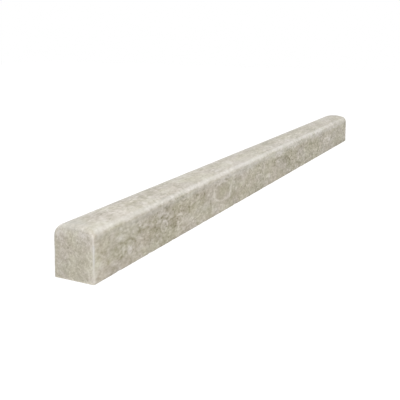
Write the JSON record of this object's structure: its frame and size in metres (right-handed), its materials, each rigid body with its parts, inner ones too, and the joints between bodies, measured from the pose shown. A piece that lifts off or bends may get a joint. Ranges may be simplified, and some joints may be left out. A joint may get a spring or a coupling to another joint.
{
  "type": "pencil liner tile",
  "caption": "Slim stone trim bar with a flat bonding face, square ends and a softly crowned top with rounded edges, used to finish or divide areas of wall tile.",
  "frame": {"origin": "middle of the flat bonding face that the bar lies on", "axes": "+X along the length, +Y across the width, +Z out of the bonding face towards the rounded face that shows"},
  "size_m": [0.305, 0.016, 0.0185],
  "materials": {
    "stone": "honed grey-beige limestone"
  },
  "bodies": {
    "root": {"pencil_liner": "stone"}
  },
  "joints": []
}
